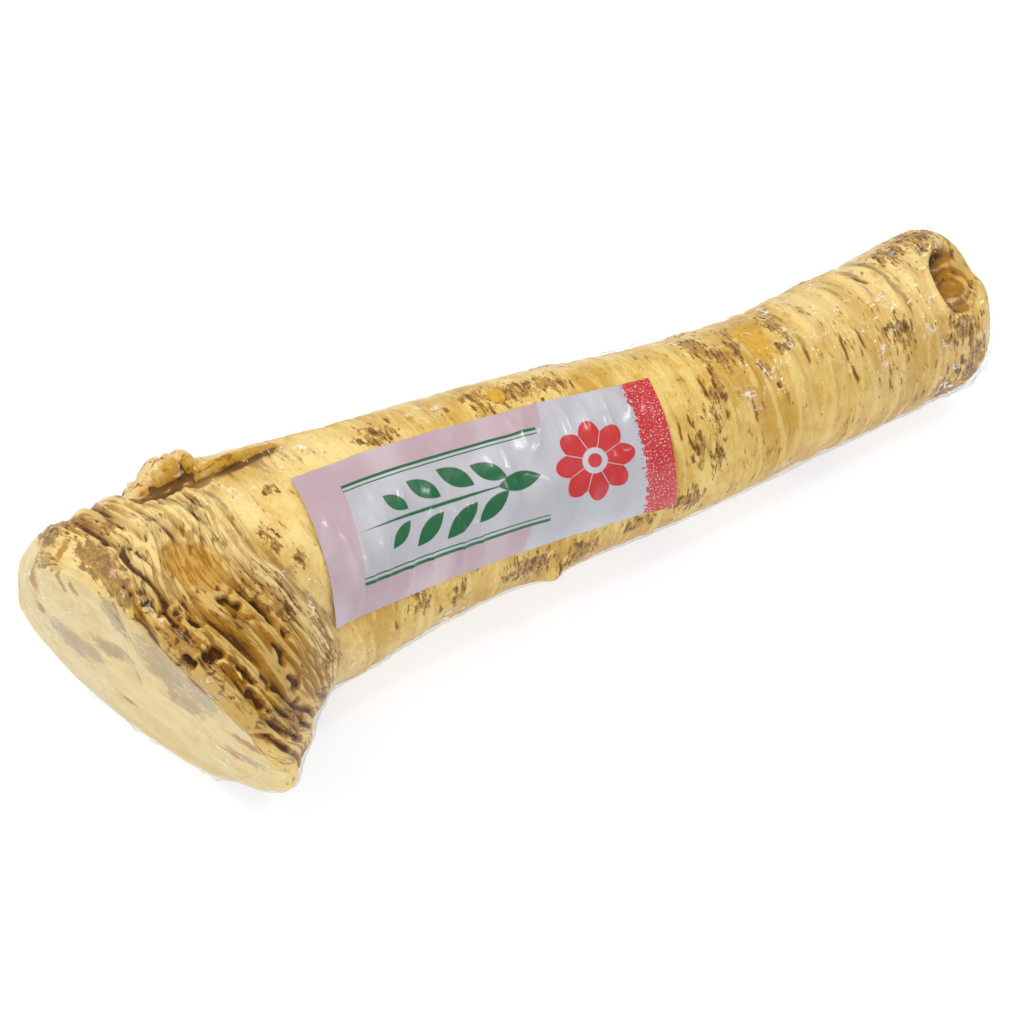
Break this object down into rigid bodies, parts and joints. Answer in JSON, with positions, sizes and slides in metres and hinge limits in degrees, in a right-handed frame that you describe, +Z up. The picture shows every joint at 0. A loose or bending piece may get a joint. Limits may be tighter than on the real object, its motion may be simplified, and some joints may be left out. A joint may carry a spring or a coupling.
{
  "type": "film-wrapped horseradish root",
  "caption": "Whole cut horseradish root lying on its side, with a flared crown, ridged leaf scars and a blunt thin end, wrapped in clear film with a plain printed label.",
  "frame": {"origin": "the middle of the bounding box, on the surface that the root lies on", "axes": "+X runs along the root from the cut crown to the thin end, +Z is up, the label faces -Y and up"},
  "size_m": [0.2174, 0.0682, 0.0562],
  "materials": {
    "root_skin": "matt corky skin, pale straw",
    "clear_film": "clear, glossy, creased",
    "printed_label": "coated, satin print"
  },
  "bodies": {
    "root": {"root": "root_skin", "film_wrap": "clear_film", "label": "printed_label"}
  },
  "joints": []
}
